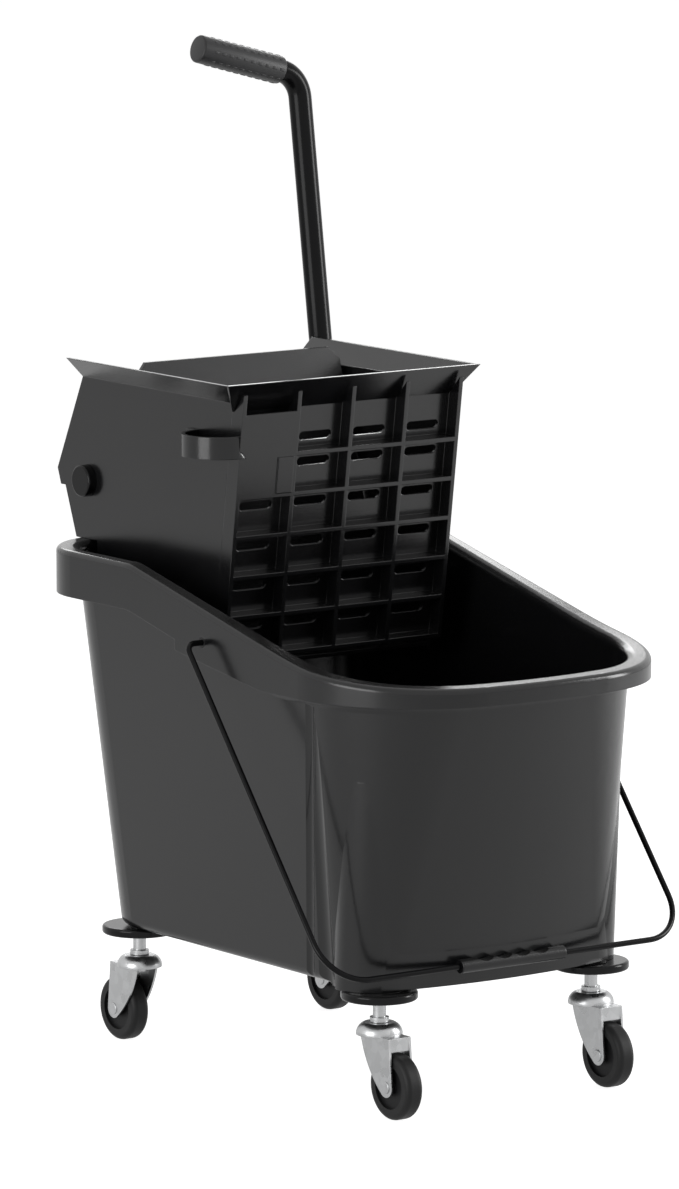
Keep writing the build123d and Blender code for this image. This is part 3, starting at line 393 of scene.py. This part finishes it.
def metal(name, colour, roughness, radius):
    """Plated or drawn steel: blotchy gloss, fine lines, and a painted highlight that lightens the colour along soft
    edges.
    """
    material, tree, shader = new_material(name)
    metal_node = placed_group(tree, "drawn_metal", {"Roughness": roughness})
    edge_node = placed_group(tree, "soft_edges", {"Radius": radius})
    base = mixed_colour(tree, metal_node.outputs["Tone"], scaled(colour, 0.92), scaled(colour, 1.06))
    # painted highlight: the colour is lightened along soft edges to stand in for the light they catch
    painted_edge_glint = mixed_colour(tree, edge_node.outputs["Edge"], base, scaled(colour, 1.3))
    tree.links.new(painted_edge_glint, shader.inputs["Base Color"])
    tree.links.new(metal_node.outputs["Roughness"], shader.inputs["Roughness"])
    shader.inputs["Metallic"].default_value = 1.0
    surface_normal(tree, shader, metal_node.outputs["Height"], 0.00001, edge_node.outputs["Normal"])
    return material


def rubber(name, colour, roughness, specular):
    """Matt rubber: close grain and dusty upper faces."""
    material, tree, shader = new_material(name)
    grain_node = placed_group(
        tree, "moulded_grain", {"Grain Scale": 1400.0, "Tone Scale": 60.0, "Roughness": roughness})
    dust_node = placed_group(tree, "settled_dust", {"Amount": 0.06})
    base = mixed_colour(tree, grain_node.outputs["Tone"], scaled(colour, 0.8), scaled(colour, 1.2))
    film = mixed_colour(tree, dust_node.outputs["Mask"], base, DUST_ON_RUBBER)
    tree.links.new(film, shader.inputs["Base Color"])
    tree.links.new(grain_node.outputs["Roughness"], shader.inputs["Roughness"])
    shader.inputs["Specular IOR Level"].default_value = specular
    surface_normal(tree, shader, grain_node.outputs["Height"], 0.00008)
    return material


class MOPBUCKET_OT_finishes(bpy.types.Operator):
    """Gives every piece of the frame its finish."""

    bl_idname = "mop_bucket.finishes"
    bl_label = "Finish the pieces"

    def execute(self, context):
        look = context.scene.mop_bucket_finishes
        grain_group()
        edge_group()
        dust_group()
        brushed_group()
        finishes = {
            "shell_plastic": plastic(
                "shell_plastic", look.shell_colour, roughness=0.20, radius=0.0012, specular=0.44),
            "wringer_plastic": plastic("wringer_plastic", look.wringer_colour, roughness=0.20, radius=0.0012),
            "press_plastic": plastic("press_plastic", look.press_colour, roughness=0.22, radius=0.0012),
            "disc_plastic": plastic(
                "disc_plastic", look.disc_colour, roughness=0.16, radius=0.0008, specular=0.2, grain=500.0,
                depth=0.00001),
            "bush_plastic": plastic(
                "bush_plastic", look.bush_colour, roughness=0.5, radius=0.0005, specular=0.3),
            "gear_plastic": plastic(
                "gear_plastic", look.bush_colour, roughness=0.5, radius=0.0005, specular=0.3),
            "grip_plastic": plastic(
                "grip_plastic", look.disc_colour, roughness=0.25, radius=0.0010, specular=0.4),
            "hub_plastic": plastic("hub_plastic", look.bush_colour, roughness=0.5, radius=0.0005, specular=0.2),
            "tyre_rubber": rubber("tyre_rubber", look.tyre_colour, roughness=0.5, specular=0.25),
            "grip_rubber": rubber("grip_rubber", look.grip_colour, roughness=0.42, specular=0.4),
            "black_steel": coating("black_steel", look.paint_colour, roughness=0.2, specular=0.12),
            "hub_casting": coating("hub_casting", look.paint_colour, roughness=0.35, specular=0.3),
            "zinc_steel": metal("zinc_steel", look.zinc_colour, roughness=0.32, radius=0.0008),
            "spring_steel": metal("spring_steel", look.spring_colour, roughness=0.25, radius=0.0003),
        }
        for part in frame["record"]["subparts"]:
            frame["nodes"][part["node"]].material_slots[0].material = finishes[part["material_slot"]]
        for piece, slot in PIECE_FINISHES.items():
            bpy.data.objects[piece].data.materials.append(finishes[slot])
        return {"FINISHED"}


def only(obj):
    """Makes one object the only selected one, and the active one."""
    bpy.ops.object.select_all(action="DESELECT")
    obj.select_set(True)
    bpy.context.view_layer.objects.active = obj


def pick(obj, test, kind="FACE"):
    """Selects, in edit mode, the faces, edges or points of a mesh that pass a test."""
    bpy.ops.mesh.select_mode(type=kind)
    bpy.ops.mesh.select_all(action="DESELECT")
    bpy.ops.object.mode_set(mode="OBJECT")
    mesh = obj.data
    parts = {"FACE": mesh.polygons, "EDGE": mesh.edges, "VERT": mesh.vertices}[kind]
    for part in parts:
        part.select = bool(test(part))
    bpy.ops.object.mode_set(mode="EDIT")


def edge_middle(mesh, edge):
    """The middle of an edge."""
    first, second = edge.vertices
    return (mesh.vertices[first].co + mesh.vertices[second].co) / 2


class MOPBUCKET_OT_lever_grip(bpy.types.Operator):
    """Models the studded rubber grip on the lever's bent end."""

    bl_idname = "mop_bucket.lever_grip"
    bl_label = "Model the lever grip"

    def execute(self, context):
        size = context.scene.mop_bucket_pieces
        grip = grip_sleeve(context, size)
        studs = grip_studs(context, size)
        only(studs)
        grip.select_set(True)
        context.view_layer.objects.active = grip
        bpy.ops.object.join()
        low, high = (Vector(corner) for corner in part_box("lever_grip"))
        mounts = {mount["name"]: mount for mount in frame["record"]["mounts"]}
        way = Vector(mounts["lever_grip"]["axis"])
        grip.rotation_euler = way.to_track_quat("Z", "Y").to_euler()
        grip.location = (low + high) / 2
        only(grip)
        bpy.ops.object.transform_apply(location=True, rotation=True, scale=True)
        bpy.ops.object.shade_smooth_by_angle(angle=math.radians(40))
        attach(grip, "lever")
        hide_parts("lever_grip")
        return {"FINISHED"}


def grip_sleeve(context, size):
    """The grip's sleeve along Z, with rounded ends."""
    half = size.grip_length / 2
    bpy.ops.object.select_all(action="DESELECT")
    bpy.ops.mesh.primitive_cylinder_add(vertices=SLEEVE_SIDES, radius=size.grip_diameter / 2, depth=size.grip_length)
    sleeve = context.active_object
    sleeve.name = "rubber_lever_grip"
    bpy.ops.object.mode_set(mode="EDIT")
    mesh = sleeve.data
    pick(sleeve, lambda edge: abs(edge_middle(mesh, edge).z) > half - SMALL, "EDGE")
    bpy.ops.mesh.bevel(offset=size.grip_round, segments=SLEEVE_ROUND_STEPS, affect="EDGES")
    bpy.ops.object.mode_set(mode="OBJECT")
    return sleeve


def grip_studs(context, size):
    """Small rounded studs in straight rows around the sleeve."""
    span = size.stud_pitch * (size.stud_count - 1)
    first = (-size.grip_plain_end - span) / 2
    bpy.ops.object.select_all(action="DESELECT")
    bpy.ops.mesh.primitive_cube_add(
        size=1.0, location=(size.grip_diameter / 2, 0, first),
        scale=(2 * size.stud_rise, size.stud_width, size.stud_length))
    studs = context.active_object
    bpy.ops.object.transform_apply(location=True, rotation=True, scale=True)
    bpy.ops.object.mode_set(mode="EDIT")
    pick(studs, lambda face: face.normal.x > 0.5)
    bpy.ops.transform.resize(value=STUD_TOP_SHARE)
    top = size.grip_diameter / 2 - size.stud_rise / 2
    pick(studs, lambda edge: edge_middle(studs.data, edge).x > top, "EDGE")
    bpy.ops.mesh.bevel(offset=size.stud_rise / 2, segments=STUD_ROUND_STEPS, affect="EDGES")
    bpy.ops.object.mode_set(mode="OBJECT")
    row = studs.modifiers.new("row", "ARRAY")
    row.count = size.stud_count
    row.use_relative_offset = False
    row.use_constant_offset = True
    row.constant_offset_displace = (0, 0, size.stud_pitch)
    bpy.ops.object.modifier_apply(modifier="row")
    bpy.ops.object.mode_set(mode="EDIT")
    bpy.ops.mesh.select_all(action="SELECT")
    around = size.stud_rows - 1
    bpy.ops.mesh.spin(
        steps=around, dupli=True, angle=2 * math.pi * around / size.stud_rows, center=(0, 0, 0), axis=(0, 0, 1))
    bpy.ops.mesh.select_all(action="SELECT")
    bpy.ops.mesh.normals_make_consistent(inside=False)
    bpy.ops.object.mode_set(mode="OBJECT")
    return studs


class MOPBUCKET_OT_return_springs(bpy.types.Operator):
    """Models the two return springs as wound wire in the places of their solids."""

    bl_idname = "mop_bucket.return_springs"
    bl_label = "Model the return springs"

    def execute(self, context):
        size = context.scene.mop_bucket_pieces
        spring = wound_spring(context, size)
        only(spring)
        bpy.ops.object.duplicate(linked=False)
        other = context.active_object
        for side, piece in zip(SIDES, (spring, other)):
            node = "return_spring_" + side
            low, high = (Vector(corner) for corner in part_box(node))
            piece.name = "wound_return_spring_" + side
            piece.location = (low + high) / 2
            only(piece)
            bpy.ops.object.transform_apply(location=True, rotation=True, scale=True)
            bpy.ops.object.shade_smooth()
            found = [Vector(corner) for corner in piece.bound_box]
            for corner in (low, high):
                if min((place - corner).length for place in found) > 2 * size.spring_wire:
                    raise RuntimeError(piece.name + " doesn't fill the place of its solid")
            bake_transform(piece)
            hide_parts(node)
        return {"FINISHED"}


def wound_spring(context, size):
    """One spring about the origin along Y: a close coil whose two ends bend out into straight wire."""
    low, high = (Vector(corner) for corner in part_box("return_spring_left"))
    reach = (high.y - low.y) / 2
    radius = (high.z - low.z - size.spring_wire) / 2
    coil = size.spring_turns * size.spring_pitch
    bpy.ops.object.select_all(action="DESELECT")
    bpy.ops.mesh.primitive_circle_add(vertices=WIRE_SIDES, radius=size.spring_wire / 2, rotation=(0, math.pi / 2, 0))
    spring = context.active_object
    bpy.ops.object.transform_apply(location=True, rotation=True, scale=True)
    bpy.ops.object.mode_set(mode="EDIT")
    bpy.ops.transform.translate(value=(0, -coil / 2, radius))
    bpy.ops.object.mode_set(mode="OBJECT")
    winding = spring.modifiers.new("winding", "SCREW")
    winding.axis = "Y"
    winding.angle = 2 * math.pi
    winding.screw_offset = size.spring_pitch
    winding.iterations = size.spring_turns
    winding.steps = TURN_STEPS
    winding.render_steps = TURN_STEPS
    bpy.ops.object.modifier_apply(modifier="winding")
    bend = size.spring_bend
    for way in (-1, 1):
        bpy.ops.object.mode_set(mode="EDIT")
        bpy.ops.mesh.select_mode(type="EDGE")
        bpy.ops.mesh.select_all(action="DESELECT")
        bpy.ops.mesh.select_non_manifold(extend=False, use_wire=False, use_boundary=True, use_multi_face=False,
                                         use_non_contiguous=False, use_verts=False)
        bpy.ops.object.mode_set(mode="OBJECT")
        mesh = spring.data
        loop = [edge.index for edge in mesh.edges if edge.select and edge_middle(mesh, edge).y * way > 0]
        bpy.ops.object.mode_set(mode="EDIT")
        pick(spring, lambda edge: edge.index in loop, "EDGE")
        bend_centre = (0, way * (coil / 2 + bend), radius)
        bpy.ops.mesh.spin(steps=BEND_STEPS, angle=math.pi / 2, center=bend_centre, axis=(0, 0, 1))
        run = reach - coil / 2 - bend
        bpy.ops.mesh.extrude_region_move(TRANSFORM_OT_translate={"value": (0, way * run, 0)})
        bpy.ops.mesh.edge_face_add()
    bpy.ops.mesh.select_all(action="SELECT")
    bpy.ops.mesh.remove_doubles(threshold=TINY)
    bpy.ops.mesh.normals_make_consistent(inside=False)
    bpy.ops.object.mode_set(mode="OBJECT")
    return spring


def aimed(obj, target):
    """Turns a lamp or camera so that it looks at a point."""
    way = Vector(target) - obj.location
    obj.rotation_euler = way.to_track_quat("-Z", "Y").to_euler()


def soft_lamp(name, place, power, size):
    """A rectangular soft lamp that looks at the bucket."""
    lamp = bpy.data.lights.new(name, "AREA")
    lamp.shape = "RECTANGLE"
    lamp.size = size[0]
    lamp.size_y = size[1]
    lamp.energy = power
    obj = bpy.data.objects.new(name, lamp)
    bpy.context.scene.collection.objects.link(obj)
    obj.location = place
    aimed(obj, LAMP_TARGET)


class MOPBUCKET_OT_stage(bpy.types.Operator):
    """Sets up the pale floor, the soft lamps, the white surround and the camera."""

    bl_idname = "mop_bucket.stage"
    bl_label = "Set the stage"

    def execute(self, context):
        stage = context.scene.mop_bucket_stage
        scene = context.scene
        scene.view_settings.view_transform = "Standard"

        bpy.ops.object.select_all(action="DESELECT")
        bpy.ops.mesh.primitive_plane_add(size=FLOOR_SPAN, location=(0, 0, 0))
        floor = context.active_object
        floor.name = "floor"
        material, tree, shader = new_material("floor")
        shader.inputs["Base Color"].default_value = (*stage.floor_colour, 1.0)
        shader.inputs["Roughness"].default_value = FLOOR_ROUGHNESS
        shader.inputs["Specular IOR Level"].default_value = 0.0
        path = tree.nodes.new("ShaderNodeLightPath")
        glow = tree.nodes.new("ShaderNodeEmission")
        both = tree.nodes.new("ShaderNodeAddShader")
        mirrored = math_node(tree, "MULTIPLY", path.outputs["Is Glossy Ray"], stage.floor_mirrored)
        level = math_node(tree, "MULTIPLY", path.outputs["Is Camera Ray"], stage.floor_glow)
        level = math_node(tree, "MAXIMUM", level, mirrored)
        tree.links.new(level, glow.inputs["Strength"])
        tree.links.new(shader.outputs[0], both.inputs[0])
        tree.links.new(glow.outputs[0], both.inputs[1])
        tree.links.new(both.outputs[0], tree.nodes["Material Output"].inputs["Surface"])
        floor.data.materials.append(material)

        world = bpy.data.worlds.new("studio")
        scene.world = world
        world.use_nodes = True
        tree = world.node_tree
        back = tree.nodes["Background"]
        back.inputs["Color"].default_value = (1.0, 1.0, 1.0, 1.0)
        path = tree.nodes.new("ShaderNodeLightPath")
        seen = math_node(tree, "MAXIMUM", path.outputs["Is Camera Ray"], path.outputs["Is Glossy Ray"])
        seen = math_node(tree, "MAXIMUM", seen, path.outputs["Is Transmission Ray"])
        level = math_node(tree, "MULTIPLY", seen, 1.0 - stage.world_light)
        level = math_node(tree, "ADD", level, stage.world_light)
        tree.links.new(level, back.inputs["Strength"])

        soft_lamp("key_lamp", KEY_PLACE, stage.key_power, KEY_SIZE)
        soft_lamp("top_lamp", TOP_PLACE, stage.top_power, TOP_SIZE)
        soft_lamp("side_lamp", SIDE_PLACE, stage.side_power, SIDE_SIZE)

        lens = bpy.data.cameras.new("camera")
        lens.sensor_fit = "VERTICAL"
        lens.sensor_height = SENSOR_HEIGHT
        lens.lens = stage.lens
        lens.clip_end = SIGHT
        camera = bpy.data.objects.new("camera", lens)
        scene.collection.objects.link(camera)
        camera.location = stage.eye
        aimed(camera, stage.aim)
        scene.camera = camera
        return {"FINISHED"}


class MOPBUCKET_PT_panel(bpy.types.Panel):
    """Lists the steps that dress the mop bucket."""

    bl_idname = "MOPBUCKET_PT_panel"
    bl_label = "Mop Bucket"
    bl_space_type = "VIEW_3D"
    bl_region_type = "UI"
    bl_category = "Mop Bucket"

    def draw(self, context):
        for step in STEPS:
            self.layout.operator(step.bl_idname)


PIECE_FINISHES = {
    "rubber_lever_grip": "grip_rubber",
    "wound_return_spring_left": "spring_steel",
    "wound_return_spring_right": "spring_steel",
}
SETTINGS = {
    "mop_bucket_pieces": MopBucketPieces,
    "mop_bucket_finishes": MopBucketFinishes,
    "mop_bucket_stage": MopBucketStage,
}
STEPS = (MOPBUCKET_OT_lever_grip, MOPBUCKET_OT_return_springs, MOPBUCKET_OT_finishes, MOPBUCKET_OT_stage)


def register():
    """Adds the settings, the steps and the panel to Blender."""
    for name, group in SETTINGS.items():
        bpy.utils.register_class(group)
        setattr(bpy.types.Scene, name, bpy.props.PointerProperty(type=group))
    for step in STEPS:
        bpy.utils.register_class(step)
    bpy.utils.register_class(MOPBUCKET_PT_panel)


def unregister():
    """Takes them out again."""
    bpy.utils.unregister_class(MOPBUCKET_PT_panel)
    for step in reversed(STEPS):
        bpy.utils.unregister_class(step)
    for name, group in SETTINGS.items():
        delattr(bpy.types.Scene, name)
        bpy.utils.unregister_class(group)


def main():
    """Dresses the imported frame."""
    register()
    bpy.ops.mop_bucket.lever_grip()
    bpy.ops.mop_bucket.return_springs()
    bpy.ops.mop_bucket.finishes()
    bpy.ops.mop_bucket.stage()


if __name__ == "__main__":
    main()
